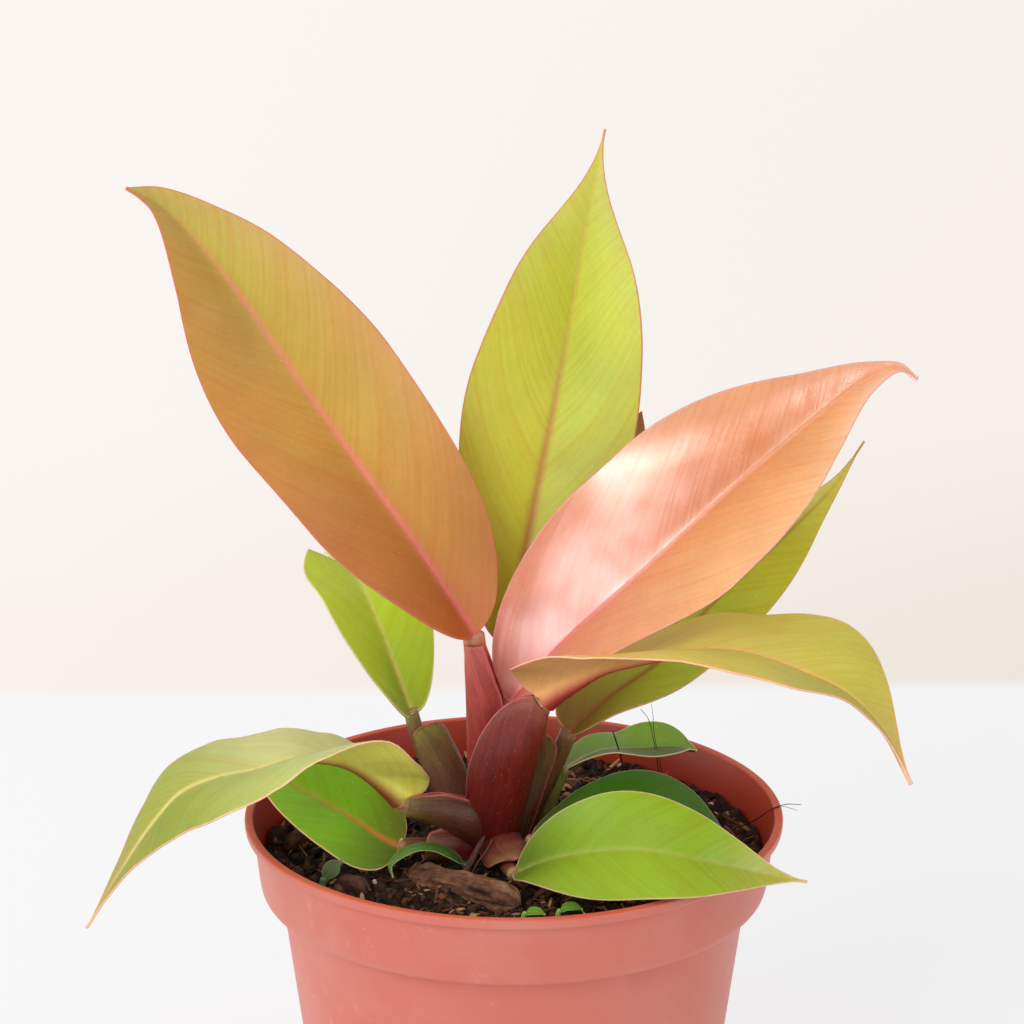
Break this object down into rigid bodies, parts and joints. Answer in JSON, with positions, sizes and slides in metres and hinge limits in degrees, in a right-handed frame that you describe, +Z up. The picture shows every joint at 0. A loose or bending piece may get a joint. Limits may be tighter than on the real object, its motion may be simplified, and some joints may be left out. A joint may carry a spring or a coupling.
{
  "type": "potted prince of orange philodendron",
  "caption": "Potted philodendron with lance-shaped orange, yellow-green and green leaves on red sheathed stalks, in soil in a round terracotta-red plastic nursery pot.",
  "frame": {"origin": "middle of the flat underside of the pot's base", "axes": "+Z up, +X to the viewer's right and -Y towards the viewer, as the picture shows the plant"},
  "size_m": [0.1808, 0.1223, 0.2476],
  "materials": {
    "pot_plastic": "soft satin terracotta red",
    "potting_mix": "dark moist crumbs and fibres",
    "bark": "rough weathered",
    "leaf_bronze": "waxy gloss, bronze orange with a pink rib",
    "leaf_orange": "waxy gloss, pink orange",
    "leaf_yellow_green": "waxy gloss, yellow green",
    "leaf_olive": "waxy gloss, olive green",
    "leaf_green": "waxy gloss, fresh green",
    "stalk_red": "satin, deep red with pink margins",
    "stalk_green": "satin, greenish brown"
  },
  "bodies": {
    "root": {"pot": "pot_plastic", "soil": "potting_mix", "bark_chunk": "bark", "bark_chip_front": "bark", "bark_chip_left": "bark", "twig": "bark", "stem": "stalk_red", "leaf_front_right_arching": "leaf_yellow_green", "stalk_front_right_arching": "stalk_red", "leaf_front_left_arching": "leaf_yellow_green", "stalk_front_left_arching": "stalk_red", "leaf_tall_left": "leaf_bronze", "stalk_tall_left": "stalk_red", "leaf_orange_right": "leaf_orange", "stalk_orange_right": "stalk_red", "leaf_tall_centre": "leaf_yellow_green", "stalk_tall_centre": "stalk_red", "leaf_green_right": "leaf_olive", "stalk_green_right": "stalk_red", "leaf_green_left": "leaf_green", "stalk_green_left": "stalk_red", "leaf_low_left": "leaf_green", "stalk_low_left": "stalk_red", "leaf_low_right_front": "leaf_green", "stalk_low_right_front": "stalk_red", "leaf_low_right_back": "leaf_green", "stalk_low_right_back": "stalk_green", "leaf_back_right": "leaf_green", "stalk_back_right": "stalk_green", "leaf_dry_tipped_back": "leaf_olive", "stalk_dry_tipped_back": "stalk_red", "leaf_curled_front": "leaf_green", "stalk_curled_front": "stalk_green", "leaf_small_left": "leaf_green", "stalk_small_left": "stalk_green", "leaf_seedling_left": "leaf_green", "stalk_seedling_left": "stalk_green", "leaf_seedling_right": "leaf_green", "stalk_seedling_right": "stalk_green"}
  },
  "joints": []
}
